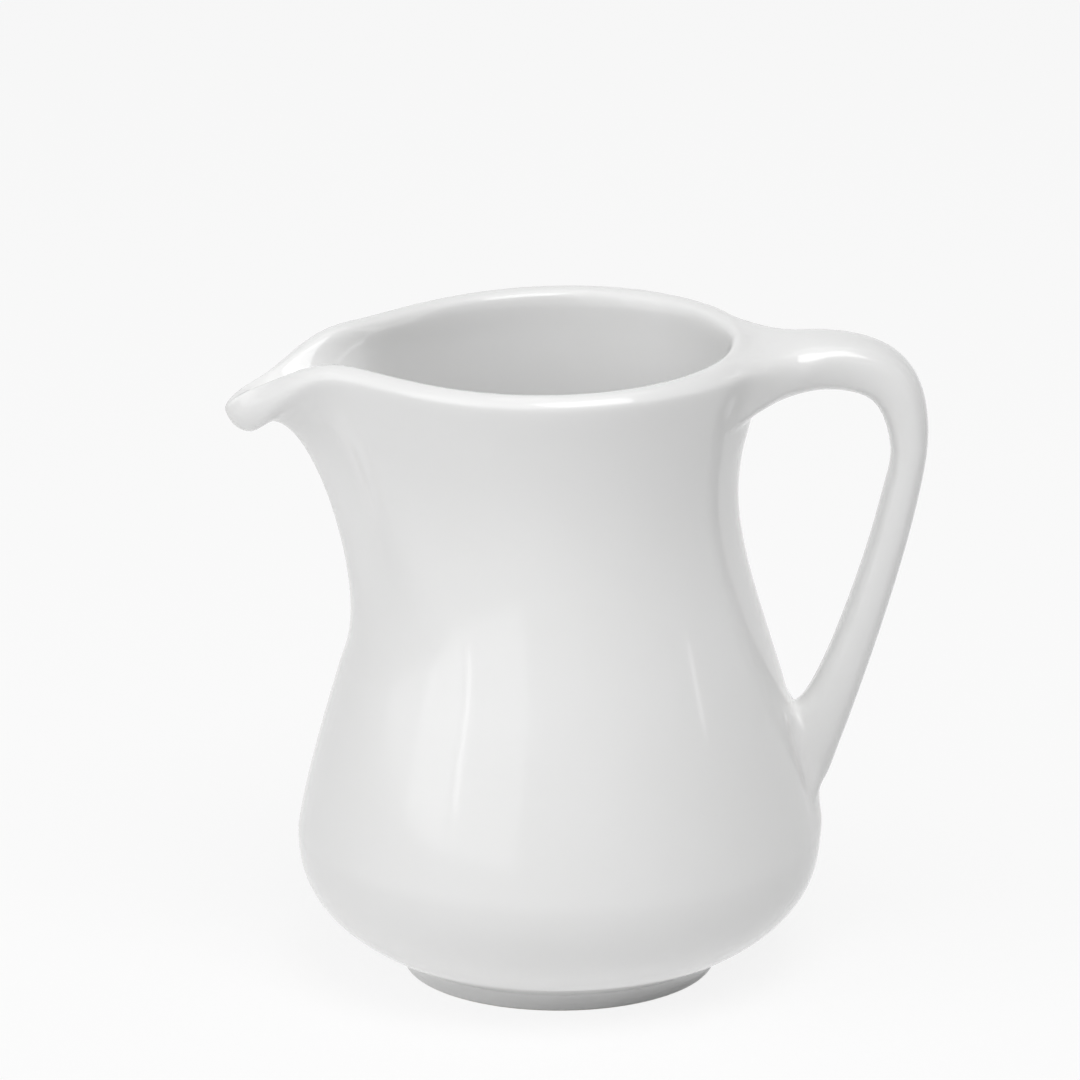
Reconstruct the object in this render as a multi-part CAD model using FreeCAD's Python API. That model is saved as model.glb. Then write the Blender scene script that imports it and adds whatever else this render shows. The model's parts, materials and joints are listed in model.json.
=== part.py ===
import FreeCAD, Part
import math
import os
from FreeCAD import Vector

# Small porcelain creamer: one hollow, one-piece jug with a bulbous belly on a foot ring, a narrow neck,
# a pinched pouring lip at -X and a strap handle at +X.  Millimetres, +Z up, z = 0 is the plane the foot ring
# stands on and the z axis is the axis of the foot.
#
# The skin is one smooth control mesh of four-sided cells: rings of points round the body, with two windows
# at the handle side, and a tube of sections that joins the windows.  Its limit surface is written as uniform
# bicubic B-spline sheets, with single bicubic patches round the windows, and the flat foot, recess and floor
# are planes.

# ---- foot and underside
FOOT_RADIUS = 20.6            # outer radius of the foot ring
FOOT_RING_WIDTH = 3.4         # radial width of the foot ring
FOOT_ROUNDING = 0.7           # rounding of the ring's two lower edges
RECESS_DEPTH = 1.8            # height of the flat underside above the foot plane
BODY_CORNER_OFFSET = 0.7      # how far the bowl starts outside the foot ring
BODY_CORNER_HEIGHT = 2.6      # height of the corner between the foot ring and the bowl
BODY_CORNER_BLEND = 1.4       # how far the rounding of that corner runs each way
# ---- body profile, outer skin
BOWL_ANGLE = 22.5             # slope of the bowl where it leaves the foot, degrees
BOWL_REACH = 9.2              # how long the bowl keeps that slope
BELLY_RADIUS = 34.45
BELLY_HEIGHT = 18.0
BELLY_ROUND_LOW = 7.2         # fullness of the belly below its widest circle
BELLY_ROUND_HIGH = 3.7        # fullness of the belly above its widest circle
WAIST_RADIUS = 28.05          # radius where the belly turns into the neck
WAIST_HEIGHT = 44.0
WAIST_LEAN = 0.31             # inward lean of the wall there, radius per height
WAIST_PULL_LOW = 9.0
WAIST_PULL_HIGH = 17.2
# ---- rim
RIM_HEIGHT = 85.48             # top of the rounded lip at the sides
RIM_RADIUS = 23.39            # ridge of the lip at the sides
RIM_LEAN = 77.46               # angle of the wall under the lip, degrees from the horizontal
RIM_PULL = 17.52
RIM_TILT = 0.64               # rise of the rim at the handle and its fall at the spout
HANDLE_SWELL = 3.0            # how much further out the rim runs at the handle, all of it added thickness
HANDLE_SWELL_WIDTH = 28.0     # half width of that swell, degrees
HANDLE_SWELL_FADE = 4.0       # how quickly it fades down the neck, larger is sooner
HANDLE_DIP = 1.7              # how much lower the wall ends there, so that the thicker lip stays level
WALL = 3.0                    # wall thickness
LIP = 3.5                     # thickness of the rounded lip
LIP_FADE = 8.0                # how quickly the lip's extra thickness fades down the neck
FLOOR_HEIGHT = 6.0            # inside floor above the foot plane
# ---- pouring lip
SPOUT_REACH = 37.65           # ridge of the lip at the spout, from the axis
SPOUT_HEIGHT = 74.5           # height of the spout's edge
SPOUT_LEAN = -46.0            # direction of the wall at the spout's edge, below the horizontal
SPOUT_PULL = 8.16
SPOUT_NECK_PULL = 10.26
SPOUT_WIDTH = 17.0            # half width of the pull-out, degrees
SPOUT_NOTCH_WIDTH = 11.0       # half width of the dip in the rim, degrees
SPOUT_CURL_WIDTH = 13.0       # half width of the curled edge, degrees
SPOUT_FILL = 1.6              # added thickness of the spout's nose
SPOUT_FILL_WIDTH = 11.0       # half width of that nose, degrees
# ---- handle: outer and inner line in the XZ plane, and widths in Y
STRAP_RISE = 0.2              # slope of the strap's top where it leaves the rim
STRAP_PULL = 17.78
HANDLE_REACH = 48.28           # outer line's furthest point from the axis
HANDLE_REACH_HEIGHT = 73.31
HANDLE_BEND_HIGH = 9.4
HANDLE_BEND_LOW = 9.8
HANDLE_THICKNESS = 4.96        # radial thickness of the strap at its furthest point
INNER_BEND_DROP = 2.08         # the inner line's furthest point lies this much lower
INNER_BEND_HIGH = 12.22
INNER_BEND_LOW = 7.02
UNDER_SLOPE = 0.9             # slope of the fillet under the strap where it leaves the neck
UNDER_PULL = 4.82
HANDLE_END_LEAN = 0.4        # inward lean of the outer line where it meets the belly
HANDLE_END_PULL = 11.73
NOTCH_PULL = 2.18             # width of the rounded notch between handle and belly
NOTCH_DROP = 5.3              # how far the strap's inner line runs below the notch's end before it turns up
STRAP_WIDTH_ROOT = 18.0       # strap width at the rim
STRAP_WIDTH = 8.0             # strap width at its furthest point
STRAP_WIDTH_LOW = 8.0         # strap width at the lower end
STRAP_WIDTH_FADE = 0.22       # how soon the strap narrows behind the rim
STRAP_SQUARENESS = 2.6        # 2 is an ellipse, larger is squarer
TAIL = 0.8                    # swelling of the belly below the handle's end
TAIL_WIDTH = 4.5
TAIL_HEIGHT = 4.0

# ---- mesh layout: columns round the body, and stations up the wall and along the handle
HALF = 16                     # columns from the handle to the spout
COLUMNS = 2 * HALF
SIDE = 2                      # columns from the middle of a handle window to its side
LOW_SPACING = (0.33, 1.2)     # column spacing on the belly, at the handle and at the spout side
RIM_SPACING = (1.0, 0.17)     # column spacing at the rim, at the handle and at the spout
BOWL_STATIONS = [0.17, 0.37, 0.60, 0.82]
BELLY_STATIONS = [1.0, 1.15, 1.30, 1.43, 1.55, 1.655, 1.74, 1.82, 1.91]
NECK_STATIONS = [2.02, 2.14, 2.27, 2.40, 2.525, 2.63, 2.715, 2.79, 2.855, 2.925, 3.0]
INSIDE_STATIONS = [2.93, 2.82, 2.68, 2.5, 2.3, 2.1, 1.9, 1.7, 1.5, 1.3, 1.12, 0.95, 0.8, 0.64, 0.48, 0.34,
                   0.2]
LOW_WINDOW = (1.30, 1.74)     # the handle's lower window, bottom and top station
HIGH_WINDOW = 2.855           # bottom station of the upper window, whose top is the lip's ridge
TOP_STATIONS = [0.10, 0.20, 0.31, 0.44, 0.59, 0.78]
DOWN_STATIONS = [1.0, 1.16, 1.31, 1.45, 1.58, 1.69, 1.78, 1.86, 1.93]
SECTION_ANGLES = [141, 117, 90, 63, 39, 20, 0, -20, -39, -63, -90, -117, -141, -160, 180, 160]


def bezier(a, b, c, d, t):
    return a * (1 - t) ** 3 + b * (3 * t * (1 - t) ** 2) + c * (3 * t * t * (1 - t)) + d * t ** 3


def plane_vector(x, z):
    return Vector(x, 0, z)


def unit(v):
    return v * (1 / v.Length)


def turn(x, spacing):
    """Azimuth in degrees for x = 0 at the handle to x = 1 at the spout, with the given end spacings."""
    a, b = spacing
    c1 = (b - a) / 2
    c2 = 1 - (a + b) / 2
    return 180 * (x - c1 * math.sin(math.pi * x) / math.pi - c2 * math.sin(2 * math.pi * x) / (2 * math.pi))


def bell(distance, width):
    return math.exp(-(distance / width) ** 2)


def smooth(t):
    t = min(max(t, 0.0), 1.0)
    return t * t * (3 - 2 * t)


def profile(azimuth, s):
    """Radius (x) and height (z) of the outer wall: s is 0..1 on the bowl, 1..2 on the belly, 2..3 on the neck."""
    away = 180 - abs(azimuth)
    pull = 1 / (1 + (away / SPOUT_WIDTH) ** 2)
    notch = bell(away, SPOUT_NOTCH_WIDTH)
    curl = bell(away, SPOUT_CURL_WIDTH)
    belly = plane_vector(BELLY_RADIUS, BELLY_HEIGHT)
    waist = plane_vector(WAIST_RADIUS, WAIST_HEIGHT)
    lean = unit(plane_vector(-WAIST_LEAN, 1))
    if s < 1:
        slope = math.radians(BOWL_ANGLE)
        corner = plane_vector(FOOT_RADIUS + BODY_CORNER_OFFSET, BODY_CORNER_HEIGHT)
        out = corner + plane_vector(math.cos(slope), math.sin(slope)) * BOWL_REACH
        return bezier(corner, out, belly - plane_vector(0, BELLY_ROUND_LOW), belly, s)
    if s < 2:
        high = belly + plane_vector(0, BELLY_ROUND_HIGH)
        return bezier(belly, high, waist - lean * WAIST_PULL_LOW, waist, s - 1)
    t = s - 2
    radius = RIM_RADIUS + LIP / 2 + (SPOUT_REACH - RIM_RADIUS) * pull
    edge_height = RIM_HEIGHT - LIP / 2
    height = edge_height + (SPOUT_HEIGHT - edge_height) * notch
    angle = math.radians(RIM_LEAN + (SPOUT_LEAN - RIM_LEAN) * curl)
    edge = plane_vector(radius, height)
    back = plane_vector(-math.cos(angle), -math.sin(angle))
    under = edge + back * (RIM_PULL + (SPOUT_PULL - RIM_PULL) * pull)
    above = waist + lean * (WAIST_PULL_HIGH + (SPOUT_NECK_PULL - WAIST_PULL_HIGH) * pull)
    swell = handle_share(azimuth, t)
    tilt = RIM_TILT * math.cos(math.radians(azimuth)) * t ** 2
    return bezier(waist, above, under, edge, t) + plane_vector(HANDLE_SWELL * swell, tilt - HANDLE_DIP * swell)


def handle_share(azimuth, t):
    """How much of the swell at the handle reaches this place; t runs 0..1 up the neck."""
    return t ** HANDLE_SWELL_FADE / (1 + (azimuth / HANDLE_SWELL_WIDTH) ** 2)


def thickness(x, s):
    """Wall thickness: the lip is thicker than the wall, most of all at the handle and in the spout's nose."""
    azimuth = turn(abs(x), RIM_SPACING)
    t = max(s - 2, 0)
    nose = SPOUT_FILL * bell(180 - azimuth, SPOUT_FILL_WIDTH) * t ** 2
    return WALL + nose + (LIP - WALL) * t ** LIP_FADE + HANDLE_SWELL * handle_share(azimuth, t)


def wall(x, s):
    """Outer wall point; x = 0 is the handle side, x = -1 and 1 the spout, s as in profile."""
    if abs(x) > 1:
        x = -math.copysign(2 - abs(x), x)
    low = turn(abs(x), LOW_SPACING)
    high = turn(abs(x), RIM_SPACING)
    q = profile(high, s)
    azimuth = math.radians(low + (high - low) * smooth((s - 1.6) / 1.2))
    azimuth = math.copysign(azimuth, x)
    return Vector(q.x * math.cos(azimuth), q.x * math.sin(azimuth), q.z)


def wall_frame(x, s):
    """Outward normal and upward tangent of the outer wall, by central differences."""
    h = 1e-3
    s = min(max(s, h), 3 - h)
    up = wall(x, s + h) - wall(x, s - h)
    across = wall(x + h, s) - wall(x - h, s)
    return unit(across.cross(up)), unit(up)


def column_x(i):
    return i / HALF if i <= HALF else (i - COLUMNS) / HALF


def ring(radius, z):
    """A level ring of points with the belly's column spacing."""
    points = []
    for i in range(COLUMNS):
        x = column_x(i)
        azimuth = math.copysign(math.radians(turn(abs(x), LOW_SPACING)), x)
        points.append(Vector(radius * math.cos(azimuth), radius * math.sin(azimuth), z))
    return points


def outer_row(s):
    """One ring of the outer skin, with the belly swelling a little at the handle's lower end."""
    end = wall(0, LOW_WINDOW[0]).z
    points = []
    for i in range(COLUMNS):
        x = column_x(i)
        q = wall(x, s)
        if s >= 1 and q.x > 0:
            normal = wall_frame(x, s)[0]
            q = q + normal * (TAIL * bell(q.z - end, TAIL_HEIGHT) * bell(q.y, TAIL_WIDTH))
        points.append(q)
    return points


def lip_row(angle):
    """One ring of the rounded lip: 0 degrees is its outer side, 90 its ridge, 180 its inner side."""
    a = math.radians(angle)
    points = []
    for i in range(COLUMNS):
        x = column_x(i)
        normal, up = wall_frame(x, 3)
        half = thickness(x, 3) / 2
        centre = wall(x, 3) - normal * half
        points.append(centre + normal * (half * math.cos(a)) + up * (LIP / 2 * math.sin(a)))
    return points


def inner_row(s):
    """One ring of the inner skin, a wall thickness inside the outer one."""
    points = []
    for i in range(COLUMNS):
        x = column_x(i)
        points.append(wall(x, s) - wall_frame(x, s)[0] * thickness(x, s))
    return points


def foot_rows(radius, side):
    """From the flat of the foot ring up its rounded edge; side is 1 outside the ring and -1 inside it."""
    return [ring(radius - side * FOOT_ROUNDING, 0),
            ring(radius - side * 0.2 * FOOT_ROUNDING, 0.3 * FOOT_ROUNDING),
            ring(radius + side * 0.04, 1.1 * FOOT_ROUNDING)]


def corner_rows():
    """The rounded concave corner between the foot ring and the bowl."""
    corner = plane_vector(FOOT_RADIUS + BODY_CORNER_OFFSET, BODY_CORNER_HEIGHT)
    side = unit(plane_vector(BODY_CORNER_OFFSET, BODY_CORNER_HEIGHT - FOOT_ROUNDING))
    slope = math.radians(BOWL_ANGLE)
    below = corner - side * BODY_CORNER_BLEND
    above = corner + plane_vector(math.cos(slope), math.sin(slope)) * BODY_CORNER_BLEND
    middle = (below + corner * 2 + above) * 0.25
    return [ring(below.x, below.z), ring(middle.x, middle.z), ring(above.x, above.z)]


# ---- rows of the body, from the foot ring up the outside, over the lip and down to the inside floor
body = foot_rows(FOOT_RADIUS, 1)
body.extend(corner_rows())
row_of = {}
for s in BOWL_STATIONS + BELLY_STATIONS + NECK_STATIONS:
    row_of[s] = len(body)
    body.append(outer_row(s))
body.append(lip_row(45))
ridge = len(body)
body.append(lip_row(90))
body.append(lip_row(135))
body.append(lip_row(180))
for s in INSIDE_STATIONS:
    body.append(inner_row(s))
low_inside = body[-1][HALF]
floor_edge = 0.55 * abs(low_inside.x)
for q in (0.33, 0.66, 1.0):
    radius = abs(low_inside.x) + (floor_edge - abs(low_inside.x)) * q
    body.append(ring(radius, FLOOR_HEIGHT + (low_inside.z - FLOOR_HEIGHT) * (1 - q) ** 2))
ROWS = len(body)

# ---- rows of the underside, from the inner edge of the foot ring to the recessed base
foot_inner = FOOT_RADIUS - FOOT_RING_WIDTH
under = foot_rows(foot_inner, -1)
under.append(ring(foot_inner - 0.45, RECESS_DEPTH - 0.45))
under.append(ring(foot_inner - 1.3, RECESS_DEPTH))
under.append(ring(foot_inner - 2.6, RECESS_DEPTH))

# ---- handle sections between the outer and the inner line
notch_top = wall(0, LOW_WINDOW[1])
low_end = wall(0, LOW_WINDOW[0]) + wall_frame(0, LOW_WINDOW[0])[0] * TAIL
reach = plane_vector(HANDLE_REACH, HANDLE_REACH_HEIGHT)
inner_reach = reach - plane_vector(HANDLE_THICKNESS, INNER_BEND_DROP)
root = body[ridge][0]
neck = wall(0, HIGH_WINDOW)
OUTER_TOP = [root, root + unit(plane_vector(1, STRAP_RISE)) * STRAP_PULL,
             reach + plane_vector(0, HANDLE_BEND_HIGH), reach]
OUTER_DOWN = [reach, reach - plane_vector(0, HANDLE_BEND_LOW),
              low_end + unit(plane_vector(HANDLE_END_LEAN, 1)) * HANDLE_END_PULL, low_end]
INNER_TOP = [neck, neck + unit(plane_vector(1, UNDER_SLOPE)) * UNDER_PULL,
             inner_reach + plane_vector(0, INNER_BEND_HIGH), inner_reach]
INNER_DOWN = [inner_reach, inner_reach - plane_vector(0, INNER_BEND_LOW),
              notch_top + plane_vector(NOTCH_PULL, -NOTCH_DROP), notch_top]


def strap_width(u):
    fade = math.exp(-u / STRAP_WIDTH_FADE)
    low = max(u - 1, 0)
    return STRAP_WIDTH + (STRAP_WIDTH_ROOT - STRAP_WIDTH) * fade + (STRAP_WIDTH_LOW - STRAP_WIDTH) * low


def section(u):
    """Squared oval between the outer and the inner line; u is 0..1 along the top and 1..2 down."""
    t = u if u < 1 else u - 1
    outer = bezier(*(OUTER_TOP if u < 1 else OUTER_DOWN), t)
    inner = bezier(*(INNER_TOP if u < 1 else INNER_DOWN), t)
    points = []
    for angle in SECTION_ANGLES:
        c = math.cos(math.radians(angle))
        s = math.sin(math.radians(angle))
        across = math.copysign(abs(c) ** (2 / STRAP_SQUARENESS), c)
        out = math.copysign(abs(s) ** (2 / STRAP_SQUARENESS), s)
        middle = (outer + inner) * 0.5 + (outer - inner) * (0.5 * out)
        points.append(Vector(middle.x, strap_width(u) / 2 * across, middle.z))
    return points


sections = [section(u) for u in TOP_STATIONS + DOWN_STATIONS]
AROUND = len(SECTION_ANGLES)

# ---- number the points: body rows without the inside of the two windows, then the handle sections
windows = [(row_of[LOW_WINDOW[0]], row_of[LOW_WINDOW[1]]), (row_of[HIGH_WINDOW], ridge)]


def in_window(row, column):
    near = column < SIDE or column > COLUMNS - SIDE
    return near and any(a < row < b for a, b in windows)


def face_in_window(row, column):
    near = column < SIDE or column >= COLUMNS - SIDE
    return near and any(a <= row < b for a, b in windows)


target = []
index = {}
for r in range(ROWS):
    for c in range(COLUMNS):
        if not in_window(r, c):
            index[r, c] = len(target)
            target.append(body[r][c])
tube = []
for points in sections:
    tube.append(list(range(len(target), len(target) + AROUND)))
    target.extend(points)


def window_loop(outer, inner):
    """Points of a window's edge in the order of a handle section, from its outer to its inner row and back."""
    step = 1 if inner > outer else -1
    loop = [index[outer, c % COLUMNS] for c in range(-SIDE, SIDE + 1)]
    loop += [index[r, SIDE] for r in range(outer + step, inner, step)]
    loop += [index[inner, c % COLUMNS] for c in range(SIDE, -SIDE - 1, -1)]
    loop += [index[r, COLUMNS - SIDE] for r in range(inner - step, outer, -step)]
    return loop


low_loop = window_loop(windows[0][0], windows[0][1])
high_loop = window_loop(windows[1][1], windows[1][0])
rings = [high_loop] + tube + [low_loop]

quads = []
quad_of = {}
for r in range(ROWS - 1):
    for c in range(COLUMNS):
        if not face_in_window(r, c):
            d = (c + 1) % COLUMNS
            quad_of[r, c] = len(quads)
            quads.append((index[r, c], index[r, d], index[r + 1, d], index[r + 1, c]))
joins = []
for k in range(len(rings) - 1):
    for j in range(AROUND):
        m = (j + 1) % AROUND
        if k in (0, len(rings) - 2):
            joins.append(len(quads))
        quads.append((rings[k][j], rings[k + 1][j], rings[k + 1][m], rings[k][m]))

# ---- neighbours of every point
edge_faces = {}
corner_faces = [[] for _ in target]
for f, quad in enumerate(quads):
    for k in range(4):
        a = quad[k]
        b = quad[(k + 1) % 4]
        edge_faces.setdefault((min(a, b), max(a, b)), []).append(f)
        corner_faces[a].append((f, k))
spokes = [[] for _ in target]
for a, b in edge_faces:
    spokes[a].append(b)
    spokes[b].append(a)
first_row = {index[0, c]: index[1, c] for c in range(COLUMNS)}
last_row = {index[ROWS - 1, c]: index[ROWS - 2, c] for c in range(COLUMNS)}
end_points = {**first_row, **last_row}


def limit(points, v):
    """Where the smooth surface passes over control point v; the end rings are curves of their own."""
    p = points[v]
    if v in end_points:
        along = [e for e in spokes[v] if e in end_points]
        return p * (4 / 6) + (points[along[0]] + points[along[1]]) * (1 / 6)
    n = len(spokes[v])
    total = p * (n * n)
    for e in spokes[v]:
        total = total + points[e] * 4
    for f, k in corner_faces[v]:
        total = total + points[quads[f][(k + 2) % 4]]
    return total * (1 / (n * (n + 5)))


# ---- move the control points until the smooth surface passes through the wanted points
control = list(target)
for _ in range(14):
    step = [target[v] - limit(control, v) for v in range(len(target))]
    control = [control[v] + step[v] for v in range(len(target))]


def control_point(r, c):
    """Control point of the body grid, with a mirrored row beyond each end ring."""
    c = c % COLUMNS
    if r < 0:
        return control[index[0, c]] * 2 - control[index[1, c]]
    if r >= ROWS:
        return control[index[ROWS - 1, c]] * 2 - control[index[ROWS - 2, c]]
    return control[index[r, c]]


def spline_face(poles):
    """Uniform bicubic B-spline face over a grid of control points."""
    u = len(poles)
    v = len(poles[0])
    surface = Part.BSplineSurface()
    surface.buildFromPolesMultsKnots(poles, [1] * (u + 4), [1] * (v + 4), [float(i) for i in range(u + 4)],
                                     [float(i) for i in range(v + 4)], False, False, 3, 3)
    surface.segment(*surface.bounds())
    return surface.toShape()


def body_sheet(r0, r1, c0, c1):
    return spline_face([[control_point(r, c) for c in range(c0 - 1, c1 + 2)] for r in range(r0 - 1, r1 + 2)])


def handle_sheet(j0, j1):
    grid = [[control[ring_ids[j % AROUND]] for j in range(j0 - 1, j1 + 2)] for ring_ids in rings]
    return spline_face(grid)


def inner_point(f, k):
    """Inner control point of a patch next to corner k of quad f."""
    quad = quads[f]
    n = len(spokes[quad[k]])
    total = control[quad[k]] * n + (control[quad[(k + 1) % 4]] + control[quad[(k - 1) % 4]]) * 2
    return (total + control[quad[(k + 2) % 4]]) * (1 / (n + 5))


def edge_point(a, b):
    """Control point on the patch edge from a to b, next to a."""
    total = Vector(0, 0, 0)
    for f in edge_faces[min(a, b), max(a, b)]:
        total = total + inner_point(f, quads[f].index(a)) * 0.5
    return total


def corner_point(v):
    total = Vector(0, 0, 0)
    for f, k in corner_faces[v]:
        total = total + inner_point(f, k)
    return total * (1 / len(corner_faces[v]))


def patch_face(f):
    """One bicubic patch over quad f."""
    a, b, c, d = quads[f]
    poles = [[corner_point(a), edge_point(a, b), edge_point(b, a), corner_point(b)],
             [edge_point(a, d), inner_point(f, 0), inner_point(f, 1), edge_point(b, c)],
             [edge_point(d, a), inner_point(f, 3), inner_point(f, 2), edge_point(c, b)],
             [corner_point(d), edge_point(d, c), edge_point(c, d), corner_point(c)]]
    surface = Part.BSplineSurface()
    surface.buildFromPolesMultsKnots(poles, [4, 4], [4, 4], [0.0, 1.0], [0.0, 1.0], False, False, 3, 3)
    return surface.toShape()


# ---- faces: sheets away from the windows, patches round them, the handle's two sides
front = SIDE + 1
faces = [body_sheet(0, ridge, front, COLUMNS - front), body_sheet(ridge, ROWS - 1, front, COLUMNS - front)]
bottom_low, top_low = windows[0]
bottom_high, top_high = windows[1]
faces.append(body_sheet(0, bottom_low - 1, -front, front))
faces.append(body_sheet(top_low + 1, bottom_high - 1, -front, front))
faces.append(body_sheet(top_high + 1, ROWS - 1, -front, front))
for bottom, top in windows:
    for r in range(bottom - 1, top + 1):
        for c in range(-front, front):
            key = (r, c % COLUMNS)
            if key in quad_of:
                faces.append(patch_face(quad_of[key]))
for f in joins:
    faces.append(patch_face(f))
faces.append(handle_sheet(0, AROUND // 2))
faces.append(handle_sheet(AROUND // 2, AROUND))

# ---- underside: its rings are circles, so one smooth sheet per half
under_control = [list(points) for points in under]
for _ in range(14):
    ends = [[p * 2 - q for p, q in zip(under_control[0], under_control[1])],
            [p * 2 - q for p, q in zip(under_control[-1], under_control[-2])]]
    grid = [ends[0]] + under_control + [ends[1]]
    moved = []
    for r in range(len(under)):
        line = []
        for c in range(COLUMNS):
            total = Vector(0, 0, 0)
            for i, wi in ((-1, 1), (0, 4), (1, 1)):
                for j, wj in ((-1, 1), (0, 4), (1, 1)):
                    total = total + grid[r + 1 + i][(c + j) % COLUMNS] * (wi * wj / 36)
            line.append(under_control[r][c] + under[r][c] - total)
        moved.append(line)
    under_control = moved
ends = [[p * 2 - q for p, q in zip(under_control[0], under_control[1])],
        [p * 2 - q for p, q in zip(under_control[-1], under_control[-2])]]
grid = [ends[0]] + under_control + [ends[1]]
for c0, c1 in ((0, HALF), (HALF, COLUMNS)):
    faces.append(spline_face([[line[c % COLUMNS] for c in range(c0 - 1, c1 + 2)] for line in grid]))

# ---- sew the skin, close it with the planes of the foot ring, the recess and the floor
skin = Part.makeCompound(faces)
skin.sewShape(1e-4)
free = []
for shell in skin.Shells:
    free += [e for e in shell.Edges if len(shell.ancestorsOfType(e, Part.Face)) == 1]
wires = [Part.Wire(edges) for edges in Part.sortEdges(free)]
ground = [w for w in wires if abs(w.BoundBox.ZMax) < 0.5 * RECESS_DEPTH]
ground.sort(key=lambda w: -w.BoundBox.XLength)
planes = [Part.makeFace(ground, "Part::FaceMakerBullseye")]
planes += [Part.Face(w) for w in wires if abs(w.BoundBox.ZMax) >= 0.5 * RECESS_DEPTH]
closed = Part.makeCompound(skin.Faces + planes)
closed.sewShape(1e-4)
creamer = Part.Solid(closed.Shells[0])
if creamer.Volume < 0:
    creamer.reverse()

os.makedirs("parts", exist_ok=True)
creamer.exportStep("parts/creamer.step")
box = creamer.BoundBox
print("shells", len(closed.Shells), "faces", len(creamer.Faces), "valid", creamer.isValid(), "closed", creamer.isClosed())
print("volume cm3", round(creamer.Volume / 1000, 3), "wires", len(wires))
print("box", [round(v, 2) for v in (box.XMin, box.YMin, box.ZMin, box.XMax, box.YMax, box.ZMax)])
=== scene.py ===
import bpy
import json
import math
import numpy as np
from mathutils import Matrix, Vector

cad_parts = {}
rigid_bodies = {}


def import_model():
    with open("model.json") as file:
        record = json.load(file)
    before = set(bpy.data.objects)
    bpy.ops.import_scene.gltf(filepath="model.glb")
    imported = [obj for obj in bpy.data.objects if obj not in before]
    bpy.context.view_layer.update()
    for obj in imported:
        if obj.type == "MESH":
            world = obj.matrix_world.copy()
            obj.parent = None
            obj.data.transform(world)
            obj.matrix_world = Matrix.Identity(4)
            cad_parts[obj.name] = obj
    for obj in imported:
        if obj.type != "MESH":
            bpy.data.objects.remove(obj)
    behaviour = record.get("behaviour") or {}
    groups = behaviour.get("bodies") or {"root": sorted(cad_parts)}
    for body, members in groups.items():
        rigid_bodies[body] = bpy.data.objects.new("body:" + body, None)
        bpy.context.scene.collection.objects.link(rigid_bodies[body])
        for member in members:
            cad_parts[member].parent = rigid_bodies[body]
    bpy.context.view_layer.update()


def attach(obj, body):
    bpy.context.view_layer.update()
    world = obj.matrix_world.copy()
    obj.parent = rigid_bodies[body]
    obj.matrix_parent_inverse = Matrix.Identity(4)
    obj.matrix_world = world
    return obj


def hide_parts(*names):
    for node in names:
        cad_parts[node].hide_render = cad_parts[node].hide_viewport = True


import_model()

# %% [markdown]
# A small porcelain creamer is slip-cast: liquid clay sets against a plaster mould, the handle and the
# pouring lip are part of that same casting, and the whole jug is dipped in a clear glaze.  So there is one
# piece, with no joints and no sharp edges anywhere.  The CAD node has the right size; this script makes the
# same form as a control mesh under Subdivision Surface, because the rolled lip and the joins of the handle
# need the softest possible skin for a mirror-like glaze.

MM = 0.001


def linear(hex_colour):
    """sRGB hex value to linear RGBA: a channel is c/12.92 when dark, otherwise ((c + 0.055)/1.055)^2.4."""
    channels = [int(hex_colour[i:i + 2], 16) / 255 for i in (1, 3, 5)]
    return tuple(c / 12.92 if c <= 0.04045 else ((c + 0.055) / 1.055) ** 2.4 for c in channels) + (1.0,)


# %% [markdown]
# The body could be a lathe profile, but its mouth is not round: the rim is pulled out into a pinched lip on
# one side and swells towards the handle on the other.  So the wall is a function of two things, the azimuth
# and the height along the wall, and the lathe profile is its special case.  Sizes are in millimetres and
# angles in degrees.  A pull says how long a curve keeps the direction in which it leaves a point.

# %% sizes of the foot and the body
FOOT_RADIUS = 20.6            # outer radius of the foot ring
FOOT_RING_WIDTH = 3.4         # radial width of the foot ring
FOOT_ROUNDING = 0.7           # rounding of the ring's two lower edges
FOOT_DRAFT = 0.04             # how far the ring's sides lean out just above that rounding
RECESS_DEPTH = 1.8            # height of the flat underside above the foot plane
RECESS_CORNER = 0.45          # cut of the corner between the underside and the foot ring
BODY_CORNER_OFFSET = 0.7      # how far the bowl starts outside the foot ring
BODY_CORNER_HEIGHT = 2.6      # height of the corner between the foot ring and the bowl
BODY_CORNER_BLEND = 1.4       # how far the rounding of that corner runs each way
BOWL_ANGLE = 22.5             # slope of the bowl where it leaves the foot
BOWL_REACH = 9.2              # how long the bowl keeps that slope
BELLY_RADIUS = 34.45
BELLY_HEIGHT = 18.0           # height of the belly's widest circle
BELLY_ROUND_LOW = 7.2         # fullness of the belly below its widest circle
BELLY_ROUND_HIGH = 3.7        # fullness of the belly above its widest circle
WAIST_RADIUS = 28.05          # radius where the belly turns into the neck
WAIST_HEIGHT = 44.0
WAIST_LEAN = 0.31             # inward lean of the wall there, radius per height
WAIST_PULL_LOW = 9.0
WAIST_PULL_HIGH = 17.2
WALL = 3.0                    # wall thickness
FLOOR_HEIGHT = 6.0            # inside floor above the foot plane
print("belly, mm:", 2 * BELLY_RADIUS, "across, foot, mm:", 2 * FOOT_RADIUS, "across")

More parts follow.
